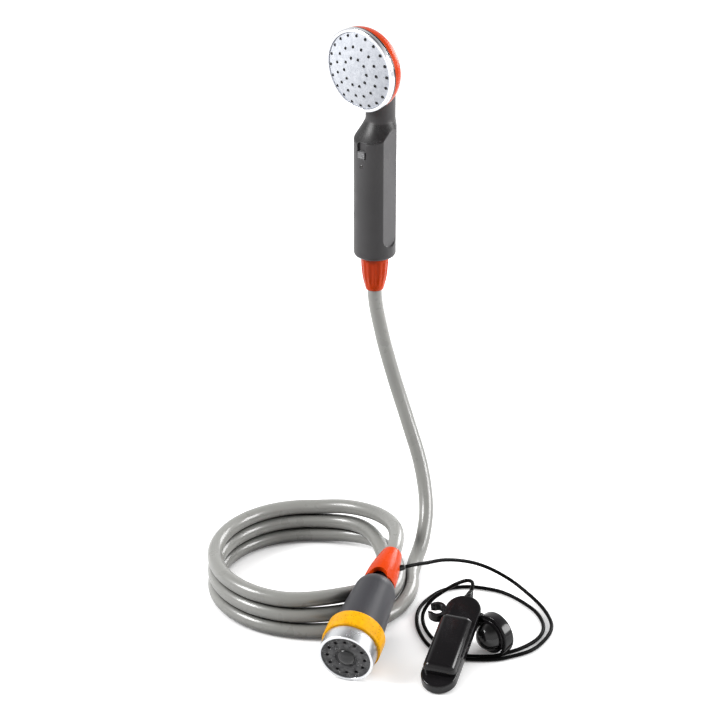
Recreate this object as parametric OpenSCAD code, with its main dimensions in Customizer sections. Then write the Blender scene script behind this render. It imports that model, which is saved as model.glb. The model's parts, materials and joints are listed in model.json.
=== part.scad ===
// Camp shower set: handset on a coiled hose, submersible pump, power lead and power pack.
// Millimetres, +Z up, standing on Z = 0. The handset looks forward and to the left.

/* [Grip] */
// Diameter of the grip
grip_d = 37; // [34:0.5:42]
// Wall of the two grip shells
grip_wall = 2.5; // [2:0.1:3]
// Radius of the bottom edge
grip_edge_r = 3.5; // [2:0.5:5]
// Depth of the flat side panels
panel_depth = 2; // [1:0.1:2.2]
// Height of the lower end of the side panels
panel_low = 12; // [8:1:30]
// Diameter of the neck between grip and head
neck_d = 27; // [25:0.5:29]
// Height of the neck's round top
neck_top_h = 170; // [164:1:176]
// Height where the neck starts to flare into the dished shoulder
flare_top_h = 126; // [122:1:130]
// Radius of the dished shoulder
flare_r = 21; // [18:1:26]

/* [Spray head] */
// Diameter of the bezel
head_d = 73; // [68:1:80]
// Height of the centre of the spray face
head_h = 172; // [168:1:178]
// Distance of the spray face in front of the grip's axis
head_forward = 21; // [18:1:26]
// Downward tilt of the spray face in degrees
head_tilt = 5; // [0:1:12]
// Depth of the head behind the bezel
head_depth = 24; // [20:1:28]
// Width of the bezel
bezel_w = 2.4; // [2.2:0.1:4]
// Rise of the domed spray face at its middle
dome_h = 6; // [4:0.5:7]
// Diameter of a spray hole
jet_d = 2.8; // [1:0.1:3]

/* [Switch] */
// Width of the switch recess
switch_w = 9; // [7:0.5:11]
// Height of the switch recess
switch_h = 14; // [13:0.5:14.5]
// Travel of the thumb slide
switch_travel = 5; // [3:0.5:5.5]
// Distance of the recess below the scoop's rim
switch_below_rim = 1.5; // [1:0.5:3]
// Diameter of the indicator lens
lens_d = 4; // [2.5:0.1:4.5]

/* [Hose] */
// Outside diameter of the hose
hose_d = 13; // [11:0.5:13.5]
// Distance between neighbouring turns of the coil
turn_step = 14.3; // [14.2:0.1:15]
// Radius of the coil where its turns lie on each other
coil_r = 80; // [78:1:84]
// How far the outermost turn swings out under the pump
coil_swing = 11; // [10:1:12]
// Length of the orange hose nut under the grip
nut_h = 32; // [28:1:36]
// Diameter of the hose nut at the grip
nut_d = 25; // [23:0.5:27]
// Diameter of the water tube in the grip
tube_d = 8; // [7:0.5:8.5]

/* [Pump] */
// Diameter of the polished strainer ring
ring_d = 46; // [44.4:0.2:46.4]
// Length of the strainer ring
ring_l = 14; // [12:0.5:15]
// Diameter of the yellow collar
collar_d = 49.4; // [48.4:0.2:50]
// Length of the yellow collar
collar_l = 17; // [14:0.5:20]
// Diameter of the pump body behind the collar
body_front_d = 43; // [41:0.5:44]
// Diameter of the pump body at its shoulder
body_back_d = 36; // [35:0.5:38]
// Length of the pump from the strainer to the shoulder
body_l = 94; // [92:1:97]
// Length of the orange hood behind the shoulder
hood_l = 42; // [39:1:44]
// Diameter of the hood at the pump
hood_d = 28; // [26:0.5:30]
// Number of strainer holes
strainer_holes = 12; // [8:1:16]
// Diameter of a strainer hole
strainer_hole_d = 3; // [2:0.2:4]
// Number of impeller blades
blades = 6; // [5:1:8]
// Diameter of the pump shaft
shaft_d = 3; // [2.5:0.5:4]
// Rise of the pump towards its hose in degrees
pump_tilt = 9; // [9:0.5:10]

/* [Power pack] */
// Length of the pack's base
pack_l = 100; // [96:1:104]
// Width of the pack's base
pack_w = 29.5; // [28:0.5:30.5]
// Height of the pack's base
base_h = 9; // [8:0.5:10]
// Height of the raised cover above the base
cover_h = 9; // [8:0.5:10]
// Length of the raised cover
cover_l = 60; // [56:1:62]
// Bevel of the cover's edges
cover_bevel = 5; // [4:0.5:5.5]
// Wall of base and cover
pack_wall = 2; // [1.5:0.1:2.4]
// Diameter of the battery cell
cell_d = 13; // [11:0.5:13.5]
// Rise of the pack towards the strain relief in degrees
pack_tilt = 17; // [15:1:19]
// Diameter of the suction cup
cup_d = 30; // [28:1:31]
// Distance of the suction cup from the pack's centre line
cup_x = 24.5; // [24:0.5:26]
// Distance of the suction cup from the pack's nose
cup_y = 76; // [75:1:78]
// Turn of the suction cup's dome away from the front in degrees
cup_turn = 46; // [43:1:49]
// Bore of the spring clip
clip_bore_d = 10; // [9:0.5:11]
// Wall of the spring clip
clip_wall = 3; // [2.5:0.5:4]
// Diameter of the power lead
lead_d = 3.2; // [2.8:0.2:3.4]
// Length of the strain relief
relief_l = 8; // [7:1:9]

/* [Hidden] */
$fn = 96;
eps = 0.01;
seat_gap = 0.3;
run_gap = 0.06;

// Where the three assemblies stand
set_at = [4, 0.6, 0];
handset_at = [-35, 140, 259];
handset_turn = -41;
pump_turn = 17;
pump_at = [-59.7, -140.3, ring_d / 2 * cos(pump_tilt)];
pack_at = [11.5, -156.5, 0];
pack_turn = 19;
coil_at = [-94, 10, 0];

// Grip
grip_r = grip_d / 2;
panel_x = grip_r - panel_depth;
panel_half = sqrt(grip_r * grip_r - panel_x * panel_x);
neck_r = neck_d / 2;
neck_y = grip_r - neck_r - 0.8;
flare_steps = 14;
rim_angle = acos(1 - (neck_y + grip_r - neck_r) / flare_r);
rim_front_h = flare_top_h - flare_r * sin(rim_angle);
bay_r = grip_r - grip_wall;
switch_top = rim_front_h - switch_below_rim;
switch_low = switch_top - switch_h;
switch_floor = grip_r - 2.9;
switch_bay_r = switch_floor - grip_wall;
switch_bay_low = switch_low - 9;
switch_bay_top = rim_front_h - 5;
tube_r = tube_d / 2;
water_top = head_h - head_d * 0.21;
nut_low_d = hose_d + 2;

// Spray head, along its own axis with the face at 0
head_r = head_d / 2;
bezel_front = 1;
face_back = 3;
plate_l = 2.5;
plate_r = head_r - bezel_w;
lip = 0.7;
dome_step = 0.3;
dome_r = plate_r - lip - seat_gap;
dome_ball_r = (dome_r * dome_r + dome_h * dome_h) / (2 * dome_h);
dome_ball_z = plate_l - face_back + dome_step + dome_h - dome_ball_r;
jet_rings = [[plate_r * 0.9, 20], [plate_r * 0.63, 15], [plate_r * 0.36, 10]];
seal_w = 1.5;

// Thumb slide
button_w = switch_w - 2 * seat_gap - 1;
button_h = switch_h - switch_travel - 3;
stem_w = 2.6;
stem_h = 2.5;

// Pump, along its own axis with the strainer's rim at 0
ring_r = ring_d / 2;
spigot_r = ring_r - 1.7;
rim_l = 1.2;
strainer_l = 2.5;
spigot_z = rim_l + strainer_l;
collar_z = ring_l + seat_gap;
body_z = collar_z + collar_l;
chamber_r = spigot_r - 3;
bulkhead_l = 4;
bay_z = body_z + bulkhead_l;
shoulder_l = 14;
shoulder_r = 7;
bay_l = body_l - shoulder_l - 2 - bay_z;
motor_r = 14.4;
bush_r = 4;
bush_l = bulkhead_l + 2;
stem_r = 6.5;
stem_l = 12;
water_r = 4;
hood_z = body_l;
hood_end = body_l + hood_l;
hood_tip_r = hose_d / 2 + 1.7;
arch_r = 8;
grommet_z = body_l + hood_l * 0.55;
grommet_r = 2.6;
grommet_l = 9;
grommet_x = 8;
grommet_lean = 55;
eye_r = 6;
intake_z = spigot_z + 1.5;
intake_l = 2;
blade_z = intake_z + intake_l + 1.5;
blade_l = 8;
blade_r = chamber_r - 1.5;
hub_r = 4;
hub_l = blade_l + 3;
shaft_end = bay_z + 12;

// Power pack
pack_r = pack_w / 2;
cover_y = 12;
cover_w = pack_w - 2;
cell_l = cover_l - 2 * cover_bevel - 8;
cell_y = cover_y + cover_bevel + 2;
cup_r = cup_d / 2;
holder_l = 6;
holder_r = cup_r - 0.3;
cup_neck_r = cup_r - 3.4;
cup_rim_l = 3.6;
bar_low = cup_r * 0.45;
bar_top = cup_r * 0.95;
clip_r = clip_bore_d / 2;
clip_out_r = clip_r + clip_wall;
clip_x = -pack_r - clip_out_r + 2;
clip_y = pack_l - 20;
clip_z = 1;
clip_h = base_h - clip_z;
relief_z = 4.6;
relief_r = 4;
relief_end = pack_l + relief_l;

// Small vector tools
function unit(v) = v / norm(v);
function ease(x) = 0.5 - 0.5 * cos(180 * max(0, min(1, x)));
function turn_x(p, a) = [p[0], p[1] * cos(a) - p[2] * sin(a), p[1] * sin(a) + p[2] * cos(a)];
function turn_z(p, a) = [p[0] * cos(a) - p[1] * sin(a), p[0] * sin(a) + p[1] * cos(a), p[2]];
function pump_point(p) = pump_at + turn_z(turn_x(p, pump_tilt - 90), -pump_turn);
function pump_dir(p) = turn_z(turn_x(p, pump_tilt - 90), -pump_turn);
function pack_point(p) = pack_at + turn_z(turn_x(p, pack_tilt), -pack_turn);
function pack_dir(p) = turn_z(turn_x(p, pack_tilt), -pack_turn);
cup_seat = pack_point([cup_x, cup_y, 0]);
cup_at = [cup_seat[0], cup_seat[1], cup_r];

// One smooth curve through hand-chosen points, leaving and arriving along two given directions
function spline_point(a, b, c, d, t) =
    0.5 * (2 * b + (c - a) * t + (2 * a - 5 * b + 4 * c - d) * t * t + (3 * b - a - 3 * c + d) * t * t * t);
function spline(p, ends, steps) = let(
    n = len(p) - 1,
    q = concat([p[1] - 2 * norm(p[1] - p[0]) * ends[0]], p, [p[n - 1] + 2 * norm(p[n] - p[n - 1]) * ends[1]]))
    concat(
        [for (i = [1 : n], t = [0 : steps - 1]) spline_point(q[i - 1], q[i], q[i + 1], q[i + 2], t / steps)],
        [p[n]]);

// A tube of triangles swept along a path
function tangent(p, i) = unit(p[min(len(p) - 1, i + 1)] - p[max(0, i - 1)]);
module tube(path, d, sides, side_ref, ends, phase = 0) {
    n = len(path);
    points = [for (i = [0 : n - 1])
        let(t = i == 0 ? ends[0] : i == n - 1 ? ends[1] : tangent(path, i))
        let(u = unit(cross(side_ref, t)), v = cross(t, u))
        for (k = [0 : sides - 1])
            set_at + path[i] + d / 2 * (cos(360 * k / sides + phase) * u + sin(360 * k / sides + phase) * v)];
    walls = [for (i = [0 : n - 2], k = [0 : sides - 1])
        let(a = i * sides + k, b = i * sides + (k + 1) % sides)
        each [[a, a + sides, b], [b, a + sides, b + sides]]];
    caps = [for (k = [1 : sides - 2])
        each [[0, k, k + 1], [(n - 1) * sides, (n - 1) * sides + k + 1, (n - 1) * sides + k]]];
    polyhedron(points, concat(walls, caps));
}

// The coil: angles run clockwise seen from above, 0 on the right, 90 at the front.
// The turns stand on each other round the front, left and back, and lean inward at the right,
// where the pump lies over them.
coil_rings = 24;
coil_turns = 2.75;
stand_from = 20;
stand_to = 110;
fall_from = 270;
fall_to = 358;
lay_angle = 60;
coil_lean = 2;
function coil_point(w) = let(
    a = w % 360,
    fall = ease((a - fall_from) / (fall_to - fall_from)),
    flat = 1 - ease((a - stand_from) / (stand_to - stand_from)) + fall,
    rank = floor(w / 360) + fall,
    r = coil_r + coil_swing * flat - rank * turn_step * sin(lay_angle * flat),
    rise = rank * cos(lay_angle * flat))
    coil_at + [r * cos(a), coil_lean * (rise - 1) - r * sin(a), hose_d / 2 + rise * turn_step];
coil_path = [for (i = [0 : coil_rings * coil_turns]) coil_point(360 * i / coil_rings)];
coil_first = coil_path[0];
coil_last = coil_path[len(coil_path) - 1];
coil_start_dir = [0, -1, 0];
coil_end_dir = [1, 0, 0];

// Free stretches of the hose
nut_end = handset_at - [0, 0, nut_h];
hood_tip = pump_point([0, 0, hood_end]);
hood_dir = pump_dir([0, 0, 1]);
riser_ends = [-coil_start_dir, [0, 0, 1]];
riser_path = spline([coil_first, [0.5, 34, 8.5], [8, 59, 19], [11.5, 82, 39], [7, 103, 69], [-5, 120, 106],
    [-18, 131, 146], [-29, 138, 187], nut_end], riser_ends, 3);
tail_ends = [coil_end_dir, -hood_dir];
tail_path = spline([coil_last, [-58.5, 83.5, 37], [-31, 60, 42], [-17, 27.5, 45.5], hood_tip], tail_ends, 5);

// Power lead: down from the hood, twice round on the floor, up into the pack
lead_z = lead_d / 2 + 0.2;
grommet_dir = pump_dir([sin(grommet_lean), 0, cos(grommet_lean)]);
grommet_tip = pump_point([grommet_x, 0, grommet_z]) + grommet_l * grommet_dir;
relief_dir = pack_dir([0, 1, 0]);
relief_tip = pack_point([0, relief_end, relief_z]);
lead_floor = [[107, -26.5], [112.5, -45], [113.5, -61], [108, -77], [95, -95], [77, -105], [61, -109.5],
    [38, -108.5], [22, -101], [10, -90], [2.5, -71], [0, -51], [3, -31], [12.5, -14], [25.5, -1],
    [46, 4], [67.5, -1], [81, -9.5], [93.5, -23.5], [102.5, -38], [106.5, -54], [105.5, -67.5],
    [99, -80.5], [87, -92], [73, -100], [60, -104.9], [36, -103.5], [24, -95], [14.5, -82], [7.5, -65]];
lead_ends = [grommet_dir, -relief_dir];
lead_path = spline(concat(
    [grommet_tip, [-1, -23.5, 40.5], [10, -13.5, 36.5], [23, -2.5, 32.5], [37, 6.5, 27], [52.5, 12.5, 20.5],
     [68, 13, 13.5], [83.5, 6.5, 7], [96.5, -7.5, 3]],
    [for (q = lead_floor) [q[0], q[1], lead_z]],
    [[5, -50, 3], [7, -41.5, 7], [14, -36.5, 14.5], [23.5, -36.5, 22.5], [33, -39, 30.5], [42, -42, 36],
     [46.5, -49.5, 38.3], relief_tip]), lead_ends, 2);

// Least gap of a path to itself, between points further apart than a bend
function least_gap(p, d, apart) =
    min([for (i = [0 : len(p) - 1 - apart], j = [i + apart : len(p) - 1]) norm(p[i] - p[j])]) - d;
echo(coil_gap = least_gap(coil_path, hose_d, 12), lead_gap = least_gap(lead_path, lead_d, 6));

// Frames of the three assemblies
module in_handset() { translate(set_at + handset_at) rotate([0, 0, handset_turn]) children(); }
module in_head() {
    in_handset() translate([0, -head_forward, head_h]) rotate([90 + head_tilt, 0, 0]) children();
}
module in_pump() { translate(set_at + pump_at) rotate([pump_tilt - 90, 0, -pump_turn]) children(); }
module in_pack() { translate(set_at + pack_at) rotate([pack_tilt, 0, -pack_turn]) children(); }
module in_cup() { translate(set_at + cup_at) rotate([90, 0, -cup_turn]) children(); }
module along_pack_y() { rotate([-90, 0, 0]) children(); }
module facing_front() { rotate([90, 0, 0]) children(); }

// Grip: a round bar cut by the flared neck, so that the shoulder rises to the back
module grip_outside() {
    difference() {
        intersection() {
            rotate_extrude() {
                translate([0, grip_edge_r]) square([grip_r, neck_top_h]);
                square([grip_r - grip_edge_r, grip_edge_r + eps]);
                intersection() {
                    translate([grip_r - grip_edge_r, grip_edge_r]) circle(grip_edge_r);
                    square([grip_r, grip_edge_r + eps]);
                }
            }
            flared_neck();
        }
        for (side = [-1, 1]) side_panel(side);
    }
}
module flared_neck() {
    wide = neck_r + flare_r;
    translate([0, neck_y, 0]) rotate_extrude() polygon(concat(
        [[0, -1], [wide, -1]],
        [for (i = [flare_steps : -1 : 0]) let(a = 90 * i / flare_steps)
            [wide - flare_r * cos(a), flare_top_h - flare_r * sin(a)]],
        [for (i = [0 : flare_steps]) let(a = 90 * i / flare_steps)
            [neck_r * cos(a), neck_top_h - neck_r + neck_r * sin(a)]]));
}
module side_panel(side) {
    translate([side > 0 ? panel_x : -panel_x - grip_r, 0, panel_low + panel_half]) rotate([90, 0, 90])
        linear_extrude(grip_r) {
            circle(panel_half);
            translate([-panel_half, 0]) square([2 * panel_half, flare_top_h]);
        }
}
module grip_bays() {
    translate([0, 0, grip_wall]) cylinder(r = bay_r - panel_depth, h = switch_bay_low - grip_wall + eps);
    translate([0, 0, switch_bay_low]) cylinder(r = switch_bay_r, h = switch_bay_top - switch_bay_low);
    translate([0, 0, -1]) cylinder(r = tube_r, h = neck_top_h);
}
module switch_cut() {
    translate([-switch_w / 2, -grip_d, switch_low]) cube([switch_w, grip_d - switch_floor, switch_h]);
    translate([-stem_w / 2 - seat_gap, -grip_r, switch_low + button_h / 2 - stem_h / 2 + 0.5])
        cube([stem_w + 2 * seat_gap, grip_r, stem_h + switch_travel + 1]);
}
module lens_shape() {
    translate([0, -switch_bay_r, switch_low - 7]) facing_front()
        cylinder(d = lens_d, h = grip_r - switch_bay_r - 0.3);
}
module grip_solid() {
    difference() {
        grip_outside();
        grip_bays();
    }
}
module half_space(side) {
    translate([-100, side > 0 ? 0 : -200, -10]) cube([200, 200, 300]);
}
module grip_front_shell() {
    color("dimgray") difference() {
        in_handset() difference() {
            intersection() {
                grip_solid();
                half_space(-1);
            }
            switch_cut();
            translate([0, -grip_d, switch_low - 7]) rotate([-90, 0, 0])
                cylinder(d = lens_d, h = grip_d - switch_bay_r + 3);
        }
        in_head() housing_block();
    }
}
module grip_rear_shell() {
    color("dimgray") difference() {
        in_handset() intersection() {
            grip_solid();
            half_space(1);
        }
        in_head() housing_block();
    }
}

// Spray head
housing_profile = [[0, -face_back], [head_r - 0.5, -face_back], [head_r - 0.5, -face_back - 7],
    [head_r - 2.5, -head_depth * 0.6], [head_r - 9, -head_depth * 0.83], [head_r - 18, -head_depth * 0.96],
    [0, -head_depth]];
chamber_profile = [[0, -face_back - 4], [plate_r - 2.8, -face_back - 4], [plate_r - 2.8, -face_back - 7],
    [head_r - 12, -head_depth * 0.76], [0, -head_depth * 0.84]];
module housing_block() { rotate_extrude() polygon(housing_profile); }
module seal_shape() {
    translate([0, 0, -face_back - seal_w]) difference() {
        cylinder(r = plate_r - 0.5, h = seal_w);
        translate([0, 0, -eps]) cylinder(r = plate_r - 0.5 - seal_w, h = seal_w + 2 * eps);
    }
}
module head_housing() {
    color("orangered") difference() {
        in_head() difference() {
            housing_block();
            rotate_extrude() polygon(chamber_profile);
            translate([0, 0, -face_back - 5]) cylinder(r = plate_r - 2.8, h = 10);
            seal_shape();
        }
        in_handset() cylinder(r = tube_r - 1, h = water_top);
    }
}
module face_seal() { color("black") in_head() seal_shape(); }
module spray_plate() {
    color("gainsboro") in_head() difference() {
        union() {
            translate([0, 0, -face_back]) cylinder(r = plate_r, h = plate_l);
            intersection() {
                translate([0, 0, dome_ball_z]) sphere(dome_ball_r);
                translate([0, 0, -face_back + 1]) cylinder(r = dome_r, h = plate_l + dome_h);
            }
        }
        intersection() {
            translate([0, 0, dome_ball_z - plate_l]) sphere(dome_ball_r);
            translate([0, 0, -face_back - 1]) cylinder(r = dome_r - 5, h = plate_l + dome_h);
        }
        for (ring = jet_rings, i = [1 : ring[1]])
            rotate(360 * i / ring[1]) translate([ring[0], 0, -face_back - 1])
                cylinder(d = jet_d, h = plate_l + dome_h + 3, $fn = 24);
    }
}
module face_ring() {
    color("silver") in_head() rotate_extrude() difference() {
        union() {
            translate([plate_r - lip, plate_l - face_back])
                square([bezel_w + lip - 1, face_back - plate_l + bezel_front]);
            translate([plate_r, -face_back]) square([bezel_w, face_back]);
            translate([head_r - 1, 0]) circle(1);
        }
        translate([0, -face_back - 1]) square([plate_r, 1 + plate_l]);
    }
}
module water_tube() {
    color("gainsboro") difference() {
        in_handset() difference() {
            translate([0, 0, 10 - nut_h]) cylinder(r = tube_r, h = head_h - 20 + nut_h);
            translate([0, 0, 9 - nut_h]) cylinder(r = tube_r - 1.2, h = head_h + nut_h);
        }
        in_head() housing_block();
    }
}
module hose_nut() {
    color("orangered") in_handset() difference() {
        rotate_extrude() polygon([[0, 0], [nut_d / 2, 0], [nut_d / 2 - 0.4, -nut_h * 0.35],
            [nut_d / 2 - 1.8, -nut_h * 0.65], [nut_low_d / 2 + 0.6, -nut_h + 1], [nut_low_d / 2, -nut_h],
            [0, -nut_h]]);
        translate([0, 0, 10 - nut_h]) cylinder(r = tube_r, h = nut_h);
        translate([0, 0, -nut_h - 1]) cylinder(r = tube_r - 1.2, h = nut_h);
    }
}
module switch_button() {
    color("gray") in_handset() {
        difference() {
            translate([-button_w / 2, -grip_r - 0.4, switch_low + 0.5])
                cube([button_w, grip_r + 0.4 - switch_floor - seat_gap, button_h]);
            for (i = [1 : 3])
                translate([0, -grip_r - 0.6, switch_low + 0.5 + i * button_h / 4]) rotate([0, 90, 0])
                    cylinder(d = 1, h = 2 * button_w, center = true, $fn = 24);
        }
        translate([-stem_w / 2, -switch_floor - seat_gap - eps, switch_low + 1 + button_h / 2 - stem_h / 2])
            cube([stem_w, switch_floor - switch_bay_r + 2.5, stem_h]);
    }
}
module switch_body() {
    half = 5;
    front = sqrt(switch_bay_r * switch_bay_r - half * half);
    color("black") in_handset() difference() {
        translate([-half, -front, switch_bay_low + 1])
            cube([2 * half, front - tube_r - 1, switch_bay_top - switch_bay_low - 1]);
        translate([-stem_w / 2 - seat_gap, -front - 1, switch_low + 0.5])
            cube([stem_w + 2 * seat_gap, 4, switch_h]);
    }
}
module indicator_lens() { color("black") in_handset() lens_shape(); }

// Hose
module hose_riser() { color("gray") tube(riser_path, hose_d, 10, [1, 0, 0], riser_ends); }
module hose_coil() { color("gray") tube(coil_path, hose_d, 6, [0, 0, 1], [coil_start_dir, coil_end_dir], 30); }
module hose_tail() { color("gray") tube(tail_path, hose_d, 10, [0, 0, 1], tail_ends); }
module power_lead() { color("black") tube(lead_path, lead_d, 8, [0, 0, 1], lead_ends); }

// Pump
body_profile = [[spigot_r, spigot_z], [spigot_r, body_z], [body_front_d / 2, body_z],
    [body_back_d / 2, body_l - shoulder_l], [body_back_d / 2 - shoulder_r * 0.1, body_l - shoulder_l * 0.64],
    [body_back_d / 2 - shoulder_r * 0.29, body_l - shoulder_l * 0.36],
    [body_back_d / 2 - shoulder_r * 0.57, body_l - shoulder_l * 0.14], [body_back_d / 2 - shoulder_r, body_l],
    [stem_r, body_l], [stem_r, body_l + stem_l], [water_r, body_l + stem_l],
    [water_r, bay_z + bay_l], [motor_r, bay_z + bay_l], [motor_r, bay_z], [bush_r, bay_z], [bush_r, body_z],
    [chamber_r, body_z], [chamber_r, intake_z], [spigot_r - 1.5, intake_z], [spigot_r - 1.5, spigot_z]];
module pump_body() { color("dimgray") in_pump() rotate_extrude() polygon(body_profile); }
module strainer_ring() {
    color("silver") in_pump() rotate_extrude() polygon([[spigot_r - 0.6, 0], [ring_r - 0.4, 0], [ring_r, 0.4],
        [ring_r, ring_l], [spigot_r + run_gap, ring_l], [spigot_r + run_gap, rim_l], [spigot_r - 0.6, rim_l]]);
}
module strainer_plate() {
    dome_r = 7.4;
    color("gray") in_pump() difference() {
        union() {
            translate([0, 0, rim_l]) cylinder(r = spigot_r, h = strainer_l - run_gap);
            translate([0, 0, rim_l + 12]) intersection() {
                sphere(14.2);
                translate([0, 0, -20]) cylinder(r = dome_r, h = 10);
            }
        }
        for (i = [1 : strainer_holes])
            rotate(360 * i / strainer_holes) translate([spigot_r * 0.74, 0, 0])
                cylinder(d = strainer_hole_d, h = 2 * spigot_z, $fn = 24);
        translate([0, 0, rim_l - 1]) difference() {
            cylinder(r = dome_r + 1.6, h = 1.8);
            cylinder(r = dome_r, h = 6, center = true);
        }
    }
}
module collar() {
    color("gold") in_pump() rotate_extrude() polygon([[spigot_r, collar_z], [collar_d / 2 - 0.8, collar_z],
        [collar_d / 2, collar_z + 0.8], [collar_d / 2, body_z - 0.8], [collar_d / 2 - 0.8, body_z],
        [spigot_r, body_z]]);
}
module intake_plate() {
    color("gray") in_pump() translate([0, 0, spigot_z]) difference() {
        cylinder(r = spigot_r - 1.5, h = intake_z - spigot_z);
        translate([0, 0, -1]) cylinder(r = eye_r, h = 10);
    }
}
module impeller() {
    color("white") in_pump() difference() {
        union() {
            translate([0, 0, blade_z]) cylinder(r = hub_r, h = hub_l);
            translate([0, 0, blade_z + blade_l]) cylinder(r = blade_r, h = 2);
            for (i = [1 : blades]) rotate(360 * i / blades) blade();
        }
        translate([0, 0, blade_z - 1]) cylinder(d = shaft_d, h = hub_l + 2);
    }
}
module blade() {
    bend_r = blade_r * 0.75;
    intersection() {
        translate([0, 0, blade_z + 0.5]) cylinder(r = blade_r - 0.5, h = blade_l);
        translate([bend_r * 0.7, bend_r * 0.9, blade_z]) difference() {
            cylinder(r = bend_r, h = blade_l + 1);
            translate([0, 0, -1]) cylinder(r = bend_r - 1.2, h = blade_l + 3);
            translate([-2 * bend_r, 0, -1]) cube([4 * bend_r, 2 * bend_r, blade_l + 3]);
        }
    }
}
module pump_shaft() {
    color("silver") in_pump() translate([0, 0, blade_z]) cylinder(d = shaft_d, h = shaft_end - blade_z);
}
module shaft_bush() {
    color("goldenrod") in_pump() difference() {
        translate([0, 0, bay_z - bush_l]) cylinder(r = bush_r, h = bush_l);
        translate([0, 0, bay_z - bush_l - 1]) cylinder(d = shaft_d + 2 * run_gap, h = bush_l + 2);
    }
}
module motor() {
    color("silver") in_pump() difference() {
        translate([0, 0, bay_z]) cylinder(r = motor_r, h = bay_l - 6);
        translate([0, 0, bay_z - 1]) cylinder(d = shaft_d + 1, h = shaft_end - bay_z + 2);
    }
}
module hood() {
    color("orangered") in_pump() difference() {
        rotate_extrude() polygon([[stem_r, hood_z + 3], [hood_d / 2 - 4.5, hood_z], [hood_d / 2, hood_z],
            [hood_d / 2 - 0.6, hood_z + hood_l * 0.35], [hood_d / 2 - 2.6, hood_z + hood_l * 0.65],
            [hood_tip_r + 0.8, hood_end - 2], [hood_tip_r, hood_end], [water_r, hood_end],
            [water_r, body_l + stem_l], [stem_r, body_l + stem_l]]);
        translate([0, 0, hood_z - 0.7]) rotate([90, 0, 0]) cylinder(r = arch_r, h = 2 * hood_d, center = true);
        lead_grommet_shape();
    }
}
module lead_grommet_shape() {
    translate([grommet_x, 0, grommet_z]) rotate([0, grommet_lean, 0]) cylinder(r = grommet_r, h = grommet_l);
}
module lead_grommet() { color("black") in_pump() lead_grommet_shape(); }

// Power pack
module stadium(l, w) {
    translate([0, w / 2]) circle(d = w);
    translate([0, l - w / 2]) circle(d = w);
    translate([-w / 2, w / 2]) square([w, l - w]);
}
module pack_cavity(w, l, h) {
    translate([-w / 2, cell_y - 1, 0]) cube([w, l, h]);
}
module pack_base() {
    color("black") in_pack() difference() {
        linear_extrude(base_h) stadium(pack_l, pack_w);
        translate([0, 0, pack_wall]) pack_cavity(cell_d + 2, cell_l + 5, base_h);
    }
}
module cover_block() {
    hull() {
        translate([-cover_w / 2, cover_y, base_h]) cube([cover_w, cover_l, cover_h - cover_bevel]);
        translate([-cover_w / 2 + cover_bevel, cover_y + cover_bevel, base_h])
            cube([cover_w - 2 * cover_bevel, cover_l - 2 * cover_bevel, cover_h]);
    }
}
module pack_cover() {
    color("black") in_pack() difference() {
        cover_block();
        translate([0, 0, base_h - 1]) pack_cavity(cell_d + 2, cell_l + 5, cover_h + 1 - pack_wall);
    }
}
module battery_cell() {
    color("slategray") in_pack() translate([0, cell_y, pack_wall + cell_d / 2]) along_pack_y()
        cylinder(d = cell_d, h = cell_l);
}
module circuit_board() {
    color("green") in_pack() translate([-cell_d / 2, cell_y + cell_l + 1, pack_wall])
        cube([cell_d, 1.6, base_h + cover_h - 2 * pack_wall - 1]);
}
module cup_arm() {
    color("black") difference() {
        in_cup() translate([0, 0, -holder_l]) linear_extrude(holder_l) difference() {
            union() {
                circle(holder_r);
                translate([-cup_d * 0.75, bar_low]) square([cup_d * 0.75, bar_top - bar_low]);
            }
            circle(cup_neck_r + run_gap);
        }
        in_pack() linear_extrude(base_h) stadium(pack_l, pack_w);
    }
}
module suction_cup() {
    back = -holder_l - seat_gap;
    color("black") in_cup() rotate_extrude() polygon([
        [0, cup_r * 0.7], [cup_r * 0.23, cup_r * 0.67], [cup_r * 0.42, cup_r * 0.58], [cup_r * 0.58, cup_r * 0.45],
        [cup_r * 0.7, cup_r * 0.28], [cup_r * 0.77, cup_r * 0.11], [cup_neck_r + 0.4, seat_gap],
        [cup_neck_r, seat_gap], [cup_neck_r, back], [cup_neck_r + 1, back], [cup_r - 0.5, back - 2],
        [cup_r, back - 3], [cup_r, back - cup_rim_l], [cup_r - 1.5, back - cup_rim_l], [cup_r * 0.6, back - 1],
        [0, back]]);
}
module spring_clip() {
    mouth = clip_r * 1.5;
    color("black") in_pack() translate([0, 0, clip_z]) linear_extrude(clip_h) difference() {
        union() {
            translate([clip_x, clip_y]) circle(clip_out_r);
            translate([clip_x, clip_y - clip_r]) square([-pack_r - clip_x, 2 * clip_r]);
        }
        translate([clip_x, clip_y]) circle(clip_r);
        stadium(pack_l, pack_w);
        translate([clip_x - 2 * clip_out_r, clip_y - mouth / 2]) square([2 * clip_out_r, mouth]);
    }
}
module strain_relief() {
    groove_w = 1.2;
    color("black") in_pack() difference() {
        translate([0, 0, relief_z]) along_pack_y() rotate_extrude() difference() {
            polygon([[0, pack_l - 4], [relief_r, pack_l - 4], [relief_r, pack_l + 2],
                [lead_d / 2 + 0.4, relief_end], [0, relief_end]]);
            for (i = [1 : 3])
                translate([relief_r - 0.4 - i * 0.45, pack_l + i * relief_l / 4]) square([2, groove_w]);
        }
        linear_extrude(base_h) stadium(pack_l, pack_w);
    }
}

grip_front_shell();
grip_rear_shell();
head_housing();
spray_plate();
face_ring();
face_seal();
water_tube();
switch_button();
switch_body();
indicator_lens();
hose_nut();
hose_riser();
hose_coil();
hose_tail();
pump_body();
strainer_ring();
strainer_plate();
collar();
intake_plate();
impeller();
pump_shaft();
shaft_bush();
motor();
hood();
lead_grommet();
power_lead();
strain_relief();
pack_base();
pack_cover();
battery_cell();
circuit_board();
cup_arm();
suction_cup();
spring_clip();
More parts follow.
